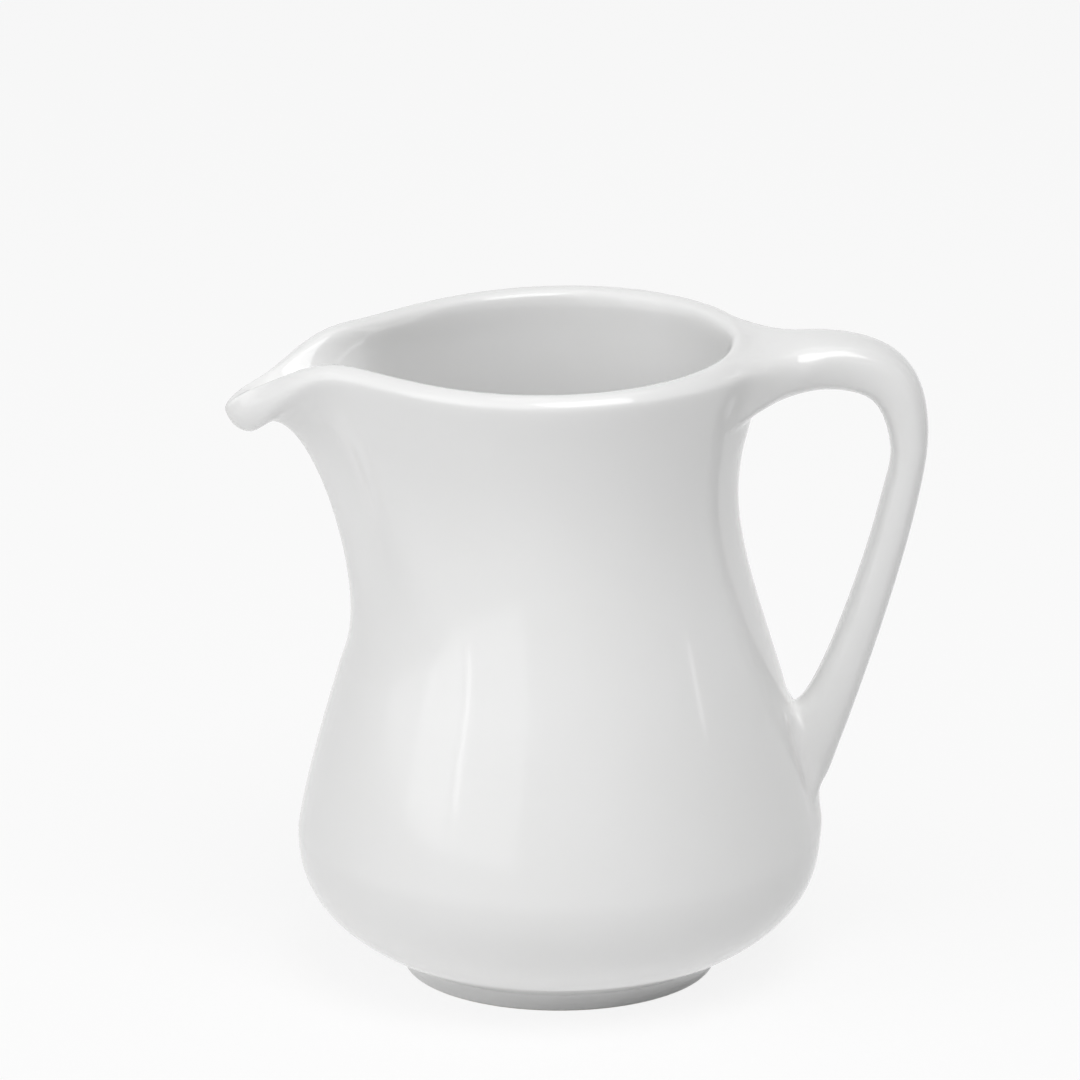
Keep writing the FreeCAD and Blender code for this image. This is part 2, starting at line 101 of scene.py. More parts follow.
# %% sizes of the rim and the pouring lip
RIM_HEIGHT = 85.48            # top of the rounded lip at the sides, about
RIM_RADIUS = 23.39            # ridge of the lip, before the spout and the handle widen it
RIM_LEAN = 77.46              # angle of the wall under the lip, from the horizontal
RIM_PULL = 17.52
RIM_TILT = 0.64               # rise of the rim at the handle and its fall at the spout
LIP = 3.5                     # thickness of the rounded lip
LIP_FADE = 8.0                # how quickly the lip's extra thickness fades down the neck
SPOUT_REACH = 37.65           # wall's outer edge at the spout, from the axis, less half the lip
SPOUT_HEIGHT = 74.5           # height of the wall's outer edge at the spout, before the tilt
SPOUT_LEAN = -46.0            # direction of the wall at the spout's edge, below the horizontal
SPOUT_PULL = 8.16
SPOUT_NECK_PULL = 10.26
SPOUT_WIDTH = 17.0            # half width of the pull-out
SPOUT_NOTCH_WIDTH = 11.0      # half width of the dip in the rim
SPOUT_CURL_WIDTH = 13.0       # half width of the curled edge
SPOUT_FILL = 1.6              # added thickness of the spout's nose
SPOUT_FILL_WIDTH = 11.0       # half width of that nose
print("rim, mm:", RIM_HEIGHT, "high")

# %% sizes of the handle
HANDLE_SWELL = 3.0            # how much further out the rim runs at the handle, all of it added thickness
HANDLE_SWELL_WIDTH = 28.0     # half width of that swell
HANDLE_SWELL_FADE = 4.0       # how quickly it fades down the neck, larger is sooner
HANDLE_DIP = 1.7              # how much lower the wall ends there, so that the thicker lip stays level
STRAP_RISE = 0.2              # slope of the strap's top where it leaves the rim
STRAP_PULL = 17.78
HANDLE_REACH = 48.28          # outer line's furthest point from the axis
HANDLE_REACH_HEIGHT = 73.31
HANDLE_BEND_HIGH = 9.4
HANDLE_BEND_LOW = 9.8
HANDLE_THICKNESS = 4.96       # radial thickness of the strap at its furthest point
INNER_BEND_DROP = 2.07        # the inner line's furthest point lies this much lower
INNER_BEND_HIGH = 12.22
INNER_BEND_LOW = 7.02
UNDER_SLOPE = 0.9             # slope of the fillet under the strap where it leaves the neck
UNDER_PULL = 4.82
HANDLE_END_LEAN = 0.4         # inward lean of the outer line where it meets the belly
HANDLE_END_PULL = 11.73
NOTCH_PULL = 2.18             # the inner line's last control point lies this far out from its end
NOTCH_DROP = 5.3              # and this far below it, so that the line turns up in the notch
STRAP_WIDTH_ROOT = 18.0       # strap width at the rim
STRAP_WIDTH = 8.0             # strap width at its furthest point
STRAP_WIDTH_LOW = 8.0         # strap width at the lower end
STRAP_WIDTH_FADE = 0.22       # how soon the strap narrows behind the rim
STRAP_SQUARENESS = 2.6        # 2 is an ellipse, larger is squarer
TAIL = 0.8                    # swelling of the belly at the handle's lower end
TAIL_WIDTH = 4.5              # half width of that swelling
TAIL_HEIGHT = 4.0             # half height of that swelling
print("handle, mm:", HANDLE_REACH, "from the axis")

# %% layout of the control mesh
HALF = 16                     # columns from the handle to the spout
COLUMNS = 2 * HALF
SIDE = 2                      # columns from the middle of a handle window to its side
LOW_SPACING = (0.33, 1.2)     # column spacing on the belly, at the handle and at the spout side
RIM_SPACING = (1.0, 0.17)     # column spacing at the rim, at the handle and at the spout
SPACING_START = 1.6           # station of the wall where the belly's spacing starts to change
SPACING_LENGTH = 1.2          # how much further up it has become the rim's
BOWL_STATIONS = [0.17, 0.37, 0.60, 0.82]
BELLY_STATIONS = [1.0, 1.15, 1.30, 1.43, 1.55, 1.655, 1.74, 1.82, 1.91]
NECK_STATIONS = [2.02, 2.14, 2.27, 2.40, 2.525, 2.63, 2.715, 2.79, 2.855, 2.925, 3.0]
INSIDE_STATIONS = [2.93, 2.82, 2.68, 2.5, 2.3, 2.1, 1.9, 1.7, 1.5, 1.3, 1.12, 0.95, 0.8, 0.64, 0.48, 0.34,
                   0.2]
LIP_ANGLES = [45, 90, 135, 180]
RIDGE_ANGLE = 90              # the lip's highest ring
LOW_WINDOW = (1.30, 1.74)     # the handle's lower window, bottom and top station
HIGH_WINDOW = 2.855           # bottom station of the upper window, whose top is the lip's ridge
HANDLE_STATIONS = [0.10, 0.20, 0.31, 0.44, 0.59, 0.78, 1.0, 1.16, 1.31, 1.45, 1.58, 1.69, 1.78, 1.86, 1.93]
SECTION_ANGLES = np.radians([141, 117, 90, 63, 39, 20, 0, -20, -39, -63, -90, -117, -141, -160, 180, 160])
UNDERSIDE_CENTRE = 0.35       # innermost ring of the underside, as a share of its radius
UNDERSIDE_STEPS = [5.2, 2.6, 1.3]    # the other rings of the flat, inwards from the foot ring
FLOOR_SHARE = 0.55            # radius of the flat floor, as a share of the lowest ring of the inside wall
FLOOR_CURVE = [0.33, 0.66, 1.0]      # rings of the curve between that ring and the flat floor
FLOOR_RINGS = [0.75, 0.35]    # rings on the flat floor, as shares of its radius
SMALL_STEP = 1e-3             # for differences along and round the wall
ROUNDS = 14                   # rounds of progressive interpolation
SKIN_LEVELS = 2               # subdivisions of the control mesh
print("columns round the body:", COLUMNS)

# %% [markdown]
# Bezier curves draw the profile the way a designer does: a point, a direction and a pull.  Three of them in
# a row make the bowl, the belly and the neck.  The pouring lip is the same neck curve with other pulls,
# blended in by bell-shaped weights of the azimuth.

# %% wall of the jug


def bezier(a, b, c, d, t):
    """Cubic curve: (1-t)^3 a + 3(1-t)^2 t b + 3(1-t) t^2 c + t^3 d, for a whole array of t."""
    t = np.asarray(t, float)[..., None]
    return a * (1 - t) ** 3 + b * (3 * t * (1 - t) ** 2) + c * (3 * t * t * (1 - t)) + d * t ** 3


def rz(radius, height):
    """A profile point, radius and height side by side."""
    return np.stack(np.broadcast_arrays(np.asarray(radius, float), np.asarray(height, float)), -1)


def unit(v):
    """A vector divided by its length."""
    return v / np.linalg.norm(v, axis=-1, keepdims=True)


def bell(distance, width):
    """exp(-(distance/width)^2)"""
    return np.exp(-(distance / width) ** 2)


def turn(x, spacing):
    """Azimuth for x from 0 to 1: 180 (x - c1 sin(pi x)/pi - c2 sin(2 pi x)/(2 pi)).  The spacing is a at
    x = 0 and b at x = 1, with c1 = (b - a)/2 and c2 = 1 - (a + b)/2, so a small one crowds the columns."""
    a, b = spacing
    c1 = (b - a) / 2
    c2 = 1 - (a + b) / 2
    return 180 * (x - c1 * np.sin(np.pi * x) / np.pi - c2 * np.sin(2 * np.pi * x) / (2 * np.pi))


def handle_share(azimuth, t):
    """t^fade / (1 + (azimuth/width)^2), with t from 0 to 1 up the neck."""
    return t ** HANDLE_SWELL_FADE / (1 + (azimuth / HANDLE_SWELL_WIDTH) ** 2)


def bowl_and_belly(s):
    """The round part of the profile: one Bezier curve for s in 0..1 and one for s in 1..2."""
    corner = rz(FOOT_RADIUS + BODY_CORNER_OFFSET, BODY_CORNER_HEIGHT)
    belly = rz(BELLY_RADIUS, BELLY_HEIGHT)
    waist = rz(WAIST_RADIUS, WAIST_HEIGHT)
    lean = unit(rz(-WAIST_LEAN, 1))
    slope = math.radians(BOWL_ANGLE)
    out = corner + rz(math.cos(slope), math.sin(slope)) * BOWL_REACH
    bowl = bezier(corner, out, belly - rz(0, BELLY_ROUND_LOW), belly, np.clip(s, 0, 1))
    high = belly + rz(0, BELLY_ROUND_HIGH)
    upper = bezier(belly, high, waist - lean * WAIST_PULL_LOW, waist, np.clip(s - 1, 0, 1))
    return np.where((s < 1)[..., None], bowl, upper)


def neck(azimuth, t):
    """Bezier curve from the waist to the rim, for t in 0..1.  Near azimuth 180 it is pulled out and down by
    1/(1 + (away/width)^2) and by two bells.  The handle's share moves it out and down at the handle, and a
    tilt times cos(azimuth) t^2 lifts the handle side."""
    away = 180 - np.abs(azimuth)
    pull = 1 / (1 + (away / SPOUT_WIDTH) ** 2)
    notch = bell(away, SPOUT_NOTCH_WIDTH)
    curl = bell(away, SPOUT_CURL_WIDTH)
    waist = rz(WAIST_RADIUS, WAIST_HEIGHT)
    lean = unit(rz(-WAIST_LEAN, 1))
    radius = RIM_RADIUS + LIP / 2 + (SPOUT_REACH - RIM_RADIUS) * pull
    edge_height = RIM_HEIGHT - LIP / 2
    edge = rz(radius, edge_height + (SPOUT_HEIGHT - edge_height) * notch)
    angle = np.radians(RIM_LEAN + (SPOUT_LEAN - RIM_LEAN) * curl)
    edge_pull = RIM_PULL + (SPOUT_PULL - RIM_PULL) * pull
    under = edge - rz(np.cos(angle), np.sin(angle)) * edge_pull[..., None]
    waist_pull = WAIST_PULL_HIGH + (SPOUT_NECK_PULL - WAIST_PULL_HIGH) * pull
    above = waist + lean * waist_pull[..., None]
    share = handle_share(azimuth, t)
    tilt = RIM_TILT * np.cos(np.radians(azimuth)) * t ** 2
    return bezier(waist, above, under, edge, t) + rz(HANDLE_SWELL * share, tilt - HANDLE_DIP * share)


def profile(azimuth, s):
    """Outer wall as (radius, height): s is 0..1 on the bowl, 1..2 on the belly and 2..3 on the neck."""
    azimuth, s = np.broadcast_arrays(np.asarray(azimuth, float), np.asarray(s, float))
    return np.where((s < 2)[..., None], bowl_and_belly(s), neck(azimuth, np.clip(s - 2, 0, 1)))


def thickness(x, s):
    """Wall thickness: the wall, plus a bell times t^2 in the spout's nose, plus the lip's extra times
    t^fade, plus the swell at the handle, with t = s - 2 on the neck and 0 below it."""
    azimuth = turn(np.abs(x), RIM_SPACING)
    t = np.maximum(s - 2, 0)
    nose = SPOUT_FILL * bell(180 - azimuth, SPOUT_FILL_WIDTH) * t ** 2
    return WALL + nose + (LIP - WALL) * t ** LIP_FADE + HANDLE_SWELL * handle_share(azimuth, t)


def wall(x, s):
    """Outer wall points: the profile turned to its azimuth.  x = 0 is the handle side and x = -1 or 1 the
    spout.  The azimuth goes from the belly's column spacing to the rim's by a smooth step, k^2 (3 - 2k)."""
    x, s = np.broadcast_arrays(np.asarray(x, float), np.asarray(s, float))
    x = np.where(np.abs(x) > 1, -np.sign(x) * (2 - np.abs(x)), x)
    low = turn(np.abs(x), LOW_SPACING)
    high = turn(np.abs(x), RIM_SPACING)
    k = np.clip((s - SPACING_START) / SPACING_LENGTH, 0, 1)
    azimuth = np.radians(low + (high - low) * k * k * (3 - 2 * k)) * np.sign(x)
    p = profile(high, s)
    return np.stack([p[..., 0] * np.cos(azimuth), p[..., 0] * np.sin(azimuth), p[..., 1]], -1)


def wall_frame(x, s):
    """Outward normal and upward tangent: the cross product and the difference of points a small step to
    each side."""
    s = np.clip(s, SMALL_STEP, 3 - SMALL_STEP)
    up = wall(x, s + SMALL_STEP) - wall(x, s - SMALL_STEP)
    across = wall(x + SMALL_STEP, s) - wall(x - SMALL_STEP, s)
    return unit(np.cross(across, up)), unit(up)


neck_radii = profile(90, np.linspace(2, 3, 200))[..., 0]
print("neck radius at the side, mm:", round(float(neck_radii.min()), 2))

# %% [markdown]
# The skin runs in rings from the recess under the foot, over the foot ring, up the outside, round the lip
# and down the inside to the floor.  A ring is one line of the grid; the columns of the grid crowd together
# at the handle and at the pouring lip, where the form changes quickly.

# %% rings of the grid
column = np.arange(COLUMNS)
COLUMN_X = np.where(column <= HALF, column / HALF, (column - COLUMNS) / HALF)


def ring(radius, height):
    """A level circle with the belly's column spacing."""
    azimuth = np.radians(turn(np.abs(COLUMN_X), LOW_SPACING)) * np.sign(COLUMN_X)
    return np.stack([radius * np.cos(azimuth), radius * np.sin(azimuth), np.full(COLUMNS, float(height))], -1)


def outer_ring(s):
    """Wall points, moved out along the normal by a bell of height times a bell of y at the handle's end."""
    p = wall(COLUMN_X, s)
    normal = wall_frame(COLUMN_X, s)[0]
    end_height = float(wall(0.0, LOW_WINDOW[0])[2])
    tail = TAIL * bell(p[:, 2] - end_height, TAIL_HEIGHT) * bell(p[:, 1], TAIL_WIDTH)
    on_handle_side = (p[:, 0] > 0) & (s >= 1)
    return p + normal * (tail * on_handle_side)[:, None]


def lip_ring(angle):
    """An oval about the middle of the wall's edge: half the local thickness across, half the lip upwards."""
    a = math.radians(angle)
    normal, up = wall_frame(COLUMN_X, 3.0)
    half = thickness(COLUMN_X, 3.0)[:, None] / 2
    return wall(COLUMN_X, 3.0) + normal * half * (math.cos(a) - 1) + up * (LIP / 2 * math.sin(a))


def inner_ring(s):
    """The outer wall moved in along its normal by the local thickness."""
    return wall(COLUMN_X, s) - wall_frame(COLUMN_X, s)[0] * thickness(COLUMN_X, s)[:, None]


def corner_rings():
    """The rounded corner under the bowl: a point before it, (before + 2 corner + after)/4, a point after."""
    corner = rz(FOOT_RADIUS + BODY_CORNER_OFFSET, BODY_CORNER_HEIGHT)
    side = unit(rz(BODY_CORNER_OFFSET, BODY_CORNER_HEIGHT - FOOT_ROUNDING))
    slope = math.radians(BOWL_ANGLE)
    before = corner - side * BODY_CORNER_BLEND
    after = corner + rz(math.cos(slope), math.sin(slope)) * BODY_CORNER_BLEND
    return [ring(*p) for p in (before, (before + 2 * corner + after) / 4, after)]


def foot_edge(radius, side):
    """Three rings of a rounded lower edge: on the flat, a fifth of the rounding inside the edge, and just
    above it.  The side is 1 on the outside of the foot ring and -1 on its inside."""
    return [ring(radius - side * FOOT_ROUNDING, 0),
            ring(radius - side * 0.2 * FOOT_ROUNDING, 0.3 * FOOT_ROUNDING),
            ring(radius + side * FOOT_DRAFT, 1.1 * FOOT_ROUNDING)]


def floor_curve(wall_radius, wall_height, flat_radius):
    """Rings from the wall to the flat floor: the height left over is the wall's times (1 - q)^2."""
    return [ring(wall_radius + (flat_radius - wall_radius) * q,
                 FLOOR_HEIGHT + (wall_height - FLOOR_HEIGHT) * (1 - q) ** 2) for q in FLOOR_CURVE]


foot_inner = FOOT_RADIUS - FOOT_RING_WIDTH
underside = [ring(UNDERSIDE_CENTRE * foot_inner, RECESS_DEPTH)]
underside += [ring(foot_inner - step, RECESS_DEPTH) for step in UNDERSIDE_STEPS]
underside += [ring(foot_inner - RECESS_CORNER, RECESS_DEPTH - RECESS_CORNER)]
underside += foot_edge(foot_inner, -1)[::-1]
middle_of_foot = [ring(FOOT_RADIUS - FOOT_RING_WIDTH / 2, 0)]
below_wall = foot_edge(FOOT_RADIUS, 1) + corner_rings()
wall_stations = BOWL_STATIONS + BELLY_STATIONS + NECK_STATIONS
outside = below_wall + [outer_ring(s) for s in wall_stations]
lip = [lip_ring(angle) for angle in LIP_ANGLES]
inside = [inner_ring(s) for s in INSIDE_STATIONS]
inside_radius = abs(inside[-1][HALF, 0])
floor_radius = FLOOR_SHARE * inside_radius
floor_rings = floor_curve(inside_radius, inside[-1][HALF, 2], floor_radius)
floor_rings += [ring(floor_radius * share, FLOOR_HEIGHT) for share in FLOOR_RINGS]
rings = np.array(underside + middle_of_foot + outside + lip + inside + floor_rings)
FIRST_OUTSIDE = len(underside) + len(middle_of_foot)
ROW_OF = {s: FIRST_OUTSIDE + len(below_wall) + i for i, s in enumerate(wall_stations)}
RIDGE = FIRST_OUTSIDE + len(outside) + LIP_ANGLES.index(RIDGE_ANGLE)
print("rings:", len(rings), "ridge of the lip at row", RIDGE)

# %% [markdown]
# The strap handle could be a swept curve pushed into the body, but then a hard line would show where the
# two meet, and glaze never leaves one.  Instead the strap is a tube of sections between two drawn lines, its
# outer and its inner side, and its ends are joined to two windows left open in the body's grid.

# %% handle sections


def xz(x, z):
    """A point of the handle's plane."""
    return np.array([x, 0.0, z])


root = rings[RIDGE, 0]
neck_end = wall(0.0, HIGH_WINDOW)
notch_top = wall(0.0, LOW_WINDOW[1])
low_end = wall(0.0, LOW_WINDOW[0]) + wall_frame(0.0, LOW_WINDOW[0])[0] * TAIL
reach = xz(HANDLE_REACH, HANDLE_REACH_HEIGHT)
inner_reach = reach - xz(HANDLE_THICKNESS, INNER_BEND_DROP)
OUTER_TOP = [root, root + unit(xz(1, STRAP_RISE)) * STRAP_PULL, reach + xz(0, HANDLE_BEND_HIGH), reach]
OUTER_DOWN = [reach, reach - xz(0, HANDLE_BEND_LOW),
              low_end + unit(xz(HANDLE_END_LEAN, 1)) * HANDLE_END_PULL, low_end]
INNER_TOP = [neck_end, neck_end + unit(xz(1, UNDER_SLOPE)) * UNDER_PULL,
             inner_reach + xz(0, INNER_BEND_HIGH), inner_reach]
INNER_DOWN = [inner_reach, inner_reach - xz(0, INNER_BEND_LOW),
              notch_top + xz(NOTCH_PULL, -NOTCH_DROP), notch_top]


def strap_width(u):
    """The strap's width, plus what is left of the root's extra width, exp(-u/fade), plus the change
    towards the lower end."""
    width = STRAP_WIDTH + (STRAP_WIDTH_ROOT - STRAP_WIDTH) * math.exp(-u / STRAP_WIDTH_FADE)
    return width + (STRAP_WIDTH_LOW - STRAP_WIDTH) * max(u - 1, 0)


def section(u):
    """Squared oval: the middle of the two lines, plus half their distance times sign(sin) |sin|^(2/n), and
    half the width times sign(cos) |cos|^(2/n) in y.  u is 0..1 along the top and 1..2 on the way down."""
    t = u if u < 1 else u - 1
    outer = bezier(*(OUTER_TOP if u < 1 else OUTER_DOWN), t)
    inner = bezier(*(INNER_TOP if u < 1 else INNER_DOWN), t)
    c = np.cos(SECTION_ANGLES)
    s = np.sin(SECTION_ANGLES)
    across = np.sign(c) * np.abs(c) ** (2 / STRAP_SQUARENESS) * strap_width(u) / 2
    out = np.sign(s) * np.abs(s) ** (2 / STRAP_SQUARENESS) / 2
    return (outer + inner) / 2 + (outer - inner) * out[:, None] + np.array([0, 1, 0]) * across[:, None]


sections = np.array([section(u) for u in HANDLE_STATIONS])
AROUND = len(SECTION_ANGLES)
print("handle sections:", sections.shape, "furthest x, mm:", round(float(sections[..., 0].max()), 2))

# %% [markdown]
# Now the points become one closed mesh of four-sided faces.  The grid's faces come from index arithmetic on
# whole arrays; the faces inside the two windows are left out, and each window's edge is one more ring of the
# handle's tube.  The two flat ends of the grid close in a pole each.

# %% faces of the control mesh
ROWS = len(rings)
grid_id = np.arange(ROWS * COLUMNS).reshape(ROWS, COLUMNS)
tube_id = grid_id.size + np.arange(len(sections) * AROUND).reshape(-1, AROUND)
pole_id = grid_id.size + tube_id.size + np.arange(2)
poles = [[0, 0, RECESS_DEPTH], [0, 0, FLOOR_HEIGHT]]
points = np.concatenate([rings.reshape(-1, 3), sections.reshape(-1, 3), poles])
WINDOWS = [(ROW_OF[LOW_WINDOW[0]], ROW_OF[LOW_WINDOW[1]]), (ROW_OF[HIGH_WINDOW], RIDGE)]


def window_edge(outer, inner):
    """Ids along a window's edge: its outer row, one side, its inner row backwards, and the other side."""
    wide = np.arange(-SIDE, SIDE + 1)
    step = 1 if inner > outer else -1
    between = np.arange(outer + step, inner, step)
    return np.concatenate([grid_id[outer, wide], grid_id[between, SIDE],
                           grid_id[inner, wide[::-1]], grid_id[between[::-1], -SIDE]])


def cap(start, end, pole):
    """Triangles from an end ring, given as two lists of its ids one column apart, to a pole."""
    return np.stack([start, end, np.full(COLUMNS, pole)], -1)


next_column = (column + 1) % COLUMNS
lower = grid_id[:-1]
upper = grid_id[1:]
all_quads = np.stack([lower, lower[:, next_column], upper[:, next_column], upper], -1)
row = np.arange(ROWS - 1)[:, None]
near_handle = (column < SIDE) | (column >= COLUMNS - SIDE)
in_window = near_handle & np.logical_or.reduce([(row >= a) & (row < b) for a, b in WINDOWS])
body_quads = all_quads[~in_window]
low_loop = window_edge(*WINDOWS[0])
high_loop = window_edge(*WINDOWS[1][::-1])
loops = np.concatenate([[high_loop], tube_id, [low_loop]])
after = np.roll(loops, -1, axis=1)
tube_quads = np.stack([loops[:-1], loops[1:], after[1:], after[:-1]], -1).reshape(-1, 4)
quads = np.concatenate([body_quads, tube_quads])
caps = np.concatenate([cap(grid_id[0, next_column], grid_id[0], pole_id[0]),
                       cap(grid_id[-1], grid_id[-1, next_column], pole_id[1])])
print("four-sided faces:", len(quads), "closing triangles:", len(caps))

# %% [markdown]
# A subdivision surface cuts inside its control points, as a spline does.  To keep the drawn sizes true, the
# control points are moved a few times by what the smooth surface still misses; this is called progressive
# interpolation.  The two end rings stay, as they lie in flats.

# %% control points that give the drawn sizes


def smooth_point(p):
    """Where the smooth surface passes a point with n spokes: (n^2 p + 4 sum of the spokes' ends + sum of
    the diagonal points)/(n(n + 5))."""
    total = p * (spokes ** 2)[:, None]
    np.add.at(total, edges[:, 0], 4 * p[edges[:, 1]])
    np.add.at(total, edges[:, 1], 4 * p[edges[:, 0]])
    for k in range(4):
        np.add.at(total, quads[:, k], p[quads[:, (k + 2) % 4]])
    return total / (spokes * (spokes + 5))[:, None]


sides = np.concatenate([quads[:, [k, (k + 1) % 4]] for k in range(4)])
edges = np.unique(np.sort(sides, axis=1), axis=0)
spokes = np.maximum(np.bincount(edges.ravel(), minlength=len(points)), 1).astype(float)
used = np.zeros(len(points), bool)
used[quads.ravel()] = True
moving = used.copy()
moving[grid_id[[0, -1]].ravel()] = False
control = points.copy()
for _ in range(ROUNDS):
    control[moving] += (points - smooth_point(control))[moving]
miss = np.linalg.norm((points - smooth_point(control))[moving], axis=1).max()
print("largest miss of a drawn point, mm:", round(float(miss), 5))

# %% the jug
used[pole_id] = True
new_id = np.cumsum(used) - 1
faces = new_id[quads].tolist() + new_id[caps].tolist()
mesh = bpy.data.meshes.new("porcelain_jug")
mesh.from_pydata((control[used] * MM).tolist(), [], faces)
mesh.polygons.foreach_set("use_smooth", np.ones(len(faces), bool))
mesh.update()
jug = bpy.data.objects.new("porcelain_jug", mesh)
bpy.context.scene.collection.objects.link(jug)
skin = jug.modifiers.new("smooth skin", "SUBSURF")
skin.levels = SKIN_LEVELS
skin.render_levels = SKIN_LEVELS
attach(jug, "root")
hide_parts("creamer")
print("control points:", len(mesh.vertices), "faces:", len(mesh.polygons))

# %% [markdown]
# Hard porcelain is fired white and almost glassy, under a clear glaze that settles smooth but never quite
# flat.  The eye reads it by three things: a neutral white body, clear but faint reflections, and the
# long soft waves in those reflections.

# %% glazed porcelain


def add(tree, kind, links=(), **settings):
    """Adds a node, sets its properties and sockets, and links (source socket, input name) pairs."""
    node = tree.nodes.new(kind)
    for name, value in settings.items():
        if hasattr(node, name):
            setattr(node, name, value)
        else:
            node.inputs[name.replace("_", " ")].default_value = value
    for source, target in links:
        tree.links.new(source, node.inputs[target])
    return node


def new_material(name):
    """A material with an empty node tree."""
    material = bpy.data.materials.new(name)
    material.use_nodes = True
    material.node_tree.nodes.clear()
    return material, material.node_tree


def two_tones(tree, factor, first, second):
    """A colour between two hex values: the first where the factor is 0, the second where it is 1."""
    tint = add(tree, "ShaderNodeMix", [(factor, "Factor")], data_type="RGBA")
    tint.inputs[6].default_value = linear(first)
    tint.inputs[7].default_value = linear(second)
    return tint.outputs[2]


def porcelain_shader(tree, colour, relief, roughness):
    """The surface of either finish, with its colour and its relief, and the material's output."""
    links = [(colour, "Base Color"), (relief.outputs["Normal"], "Normal")]
    shader = add(tree, "ShaderNodeBsdfPrincipled", links, Roughness=roughness, IOR=1.5)
    add(tree, "ShaderNodeOutputMaterial", [(shader.outputs["BSDF"], "Surface")])


glaze, tree = new_material("clear_glazed_hard_porcelain")
place = add(tree, "ShaderNodeTexCoord").outputs["Object"]
clouds = add(tree, "ShaderNodeTexNoise", [(place, "Vector")], Scale=45.0, Detail=2.0)
white_body = two_tones(tree, clouds.outputs["Fac"], "#EEEEED", "#F2F2F2")
waves = add(tree, "ShaderNodeTexNoise", [(place, "Vector")], Scale=110.0, Detail=1.0)
relief = add(tree, "ShaderNodeBump", [(waves.outputs["Fac"], "Height")], Strength=0.04, Distance=0.0006)
porcelain_shader(tree, white_body, relief, 0.10)
mesh.materials.append(glaze)
print("glaze nodes:", len(tree.nodes))

# %% [markdown]
# The foot ring is wiped clean of glaze before firing, or the jug would stick to the kiln shelf.  Its flat
# and the start of its outer rounding are bare, matt porcelain, a little warmer than the glaze.

# %% bare foot ring
bare, tree = new_material("bare_matt_porcelain")
place = add(tree, "ShaderNodeTexCoord").outputs["Object"]
grain = add(tree, "ShaderNodeTexNoise", [(place, "Vector")], Scale=2500.0, Detail=3.0)
warm_body = two_tones(tree, grain.outputs["Fac"], "#D3CFC6", "#DEDBD3")
relief = add(tree, "ShaderNodeBump", [(grain.outputs["Fac"], "Height")], Strength=0.3, Distance=0.0001)
porcelain_shader(tree, warm_body, relief, 0.75)
mesh.materials.append(bare)
quad_row = np.broadcast_to(row, in_window.shape)[~in_window]
face_row = np.concatenate([quad_row, np.full(len(tube_quads) + len(caps), -1)])
bare_faces = (face_row >= FIRST_OUTSIDE - 2) & (face_row <= FIRST_OUTSIDE)
mesh.polygons.foreach_set("material_index", bare_faces.astype(np.int32))
print("bare faces:", int(bare_faces.sum()))

# %% [markdown]
# The jug stands on a plain white sweep.  What the eye sees of the floor, straight or mirrored, is mostly
# the floor's own white glow, and the rest is lit card, which keeps the jug's shadow.  The soft light
# that the floor sends on to the jug is the lit card's alone.

# %% floor
FLOOR_HALF_WIDTH = 4.0        # metres
GLOW_SHARE = 0.87             # share of the glow in what is seen of the floor


def seen_ray(tree):
    """1 for rays that are seen straight or by a mirror or glass, otherwise 0: the camera, glossy and
    transmission rays added, and cut at 1."""
    ray = add(tree, "ShaderNodeLightPath").outputs
    mirrored = add(tree, "ShaderNodeMath", [(ray["Is Camera Ray"], 0), (ray["Is Glossy Ray"], 1)]).outputs[0]
    seen = add(tree, "ShaderNodeMath", [(mirrored, 0), (ray["Is Transmission Ray"], 1)], use_clamp=True)
    return seen.outputs[0]


corners = [(x * FLOOR_HALF_WIDTH, y * FLOOR_HALF_WIDTH, 0) for x, y in ((-1, -1), (1, -1), (1, 1), (-1, 1))]
floor_mesh = bpy.data.meshes.new("floor")
floor_mesh.from_pydata(corners, [], [(0, 1, 2, 3)])
floor = bpy.data.objects.new("floor", floor_mesh)
bpy.context.scene.collection.objects.link(floor)
paper, tree = new_material("white_paper_sweep")
card = add(tree, "ShaderNodeBsdfDiffuse", Color=linear("#F8F8F8"))
glow = add(tree, "ShaderNodeEmission", Color=linear("#FEFEFE"), Strength=1.0)
share = add(tree, "ShaderNodeMath", [(seen_ray(tree), 0)], operation="MULTIPLY")
share.inputs[1].default_value = GLOW_SHARE
blend = add(tree, "ShaderNodeMixShader", [(share.outputs[0], 0), (card.outputs[0], 1), (glow.outputs[0], 2)])
add(tree, "ShaderNodeOutputMaterial", [(blend.outputs[0], "Surface")])
floor_mesh.materials.append(paper)
print("floor nodes:", len(tree.nodes))

# %% [markdown]
# The room is white where it is seen, and nearly dark in the light that it sheds, so that the lamps alone
# shape the form.  Four softboxes do most of it: a wide one on the left, a lower one further round that side,
# one high in front and one overhead.  Three narrow strips, at the left, the right and behind, add the thin
# upright lines that a glaze shows.

# %% lights
LAMP_TARGET = Vector((0, 0, 0.05))   # metres, a point inside the jug
world = bpy.data.worlds.new("studio")
bpy.context.scene.world = world
world.use_nodes = True
tree = world.node_tree
tree.nodes.clear()
room = add(tree, "ShaderNodeBackground", Color=linear("#F6F7F8"), Strength=0.06)
white = add(tree, "ShaderNodeBackground", Color=linear("#FCFCFC"), Strength=1.0)
blend = add(tree, "ShaderNodeMixShader", [(seen_ray(tree), 0), (room.outputs[0], 1), (white.outputs[0], 2)])
add(tree, "ShaderNodeOutputWorld", [(blend.outputs[0], "Surface")])


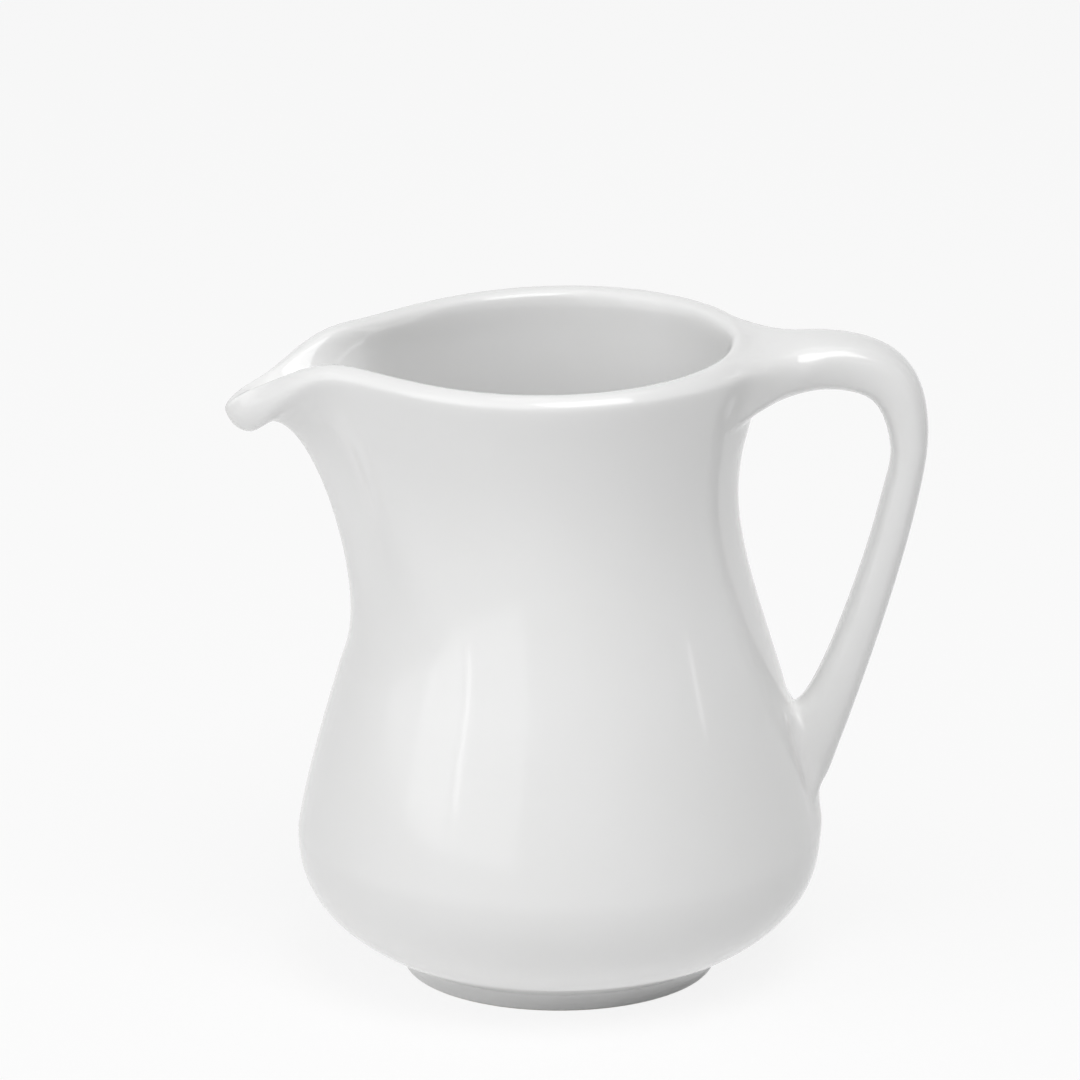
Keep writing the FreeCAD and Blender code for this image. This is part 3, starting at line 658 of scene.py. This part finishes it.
def softbox(name, place, width, height, power):
    """A rectangular lamp at a place, facing the jug.  Metres and watts."""
    lamp = bpy.data.lights.new(name, "AREA")
    lamp.shape = "RECTANGLE"
    lamp.size = width
    lamp.size_y = height
    lamp.energy = power
    holder = bpy.data.objects.new(name, lamp)
    holder.location = place
    holder.rotation_euler = (LAMP_TARGET - Vector(place)).to_track_quat("-Z", "Y").to_euler()
    bpy.context.scene.collection.objects.link(holder)


softbox("left softbox", (-0.80, -0.75, 0.80), 1.60, 1.60, 6.6)
softbox("side softbox", (-1.00, -0.25, 0.55), 1.00, 1.00, 2.0)
softbox("high softbox", (0.22, -0.50, 1.10), 0.75, 0.75, 7.8)
softbox("top softbox", (0.05, 0.10, 1.10), 0.70, 0.70, 1.5)
softbox("left strip", (-0.76, -0.66, 0.45), 0.05, 0.60, 0.22)
softbox("right strip", (1.00, -0.22, 0.45), 0.05, 0.60, 0.20)
softbox("back strip", (0.80, 0.62, 0.45), 0.05, 0.60, 0.12)
print("lamps:", len(bpy.data.lights))

# %% [markdown]
# The camera stands far back with a long lens, so that the sides of the jug stay parallel.

# %% camera
CAMERA_PITCH = 18.65          # degrees down from the horizontal
CAMERA_DISTANCE = 1.8         # metres from the pivot
PIVOT_HEIGHT = 0.040          # metres, a point on the axis of the foot
AIM_RIGHT = -0.00254          # metres from the pivot to the middle of the picture, to the right
AIM_UP = 0.017434             # metres from the pivot to the middle of the picture, upwards
LENS = 456.0                  # millimetres
SENSOR_WIDTH = 36.0           # millimetres
pitch = math.radians(CAMERA_PITCH)
camera = bpy.data.objects.new("camera", bpy.data.cameras.new("camera"))
bpy.context.scene.collection.objects.link(camera)
camera_height = PIVOT_HEIGHT + CAMERA_DISTANCE * math.sin(pitch)
camera.location = (0, -CAMERA_DISTANCE * math.cos(pitch), camera_height)
aim = Vector((AIM_RIGHT, AIM_UP * math.sin(pitch), PIVOT_HEIGHT + AIM_UP * math.cos(pitch)))
camera.rotation_euler = (aim - camera.location).to_track_quat("-Z", "Y").to_euler()
camera.data.sensor_width = SENSOR_WIDTH
camera.data.lens = LENS
bpy.context.scene.camera = camera
bpy.context.scene.view_settings.view_transform = "Standard"
print("lens, mm:", round(camera.data.lens, 1))
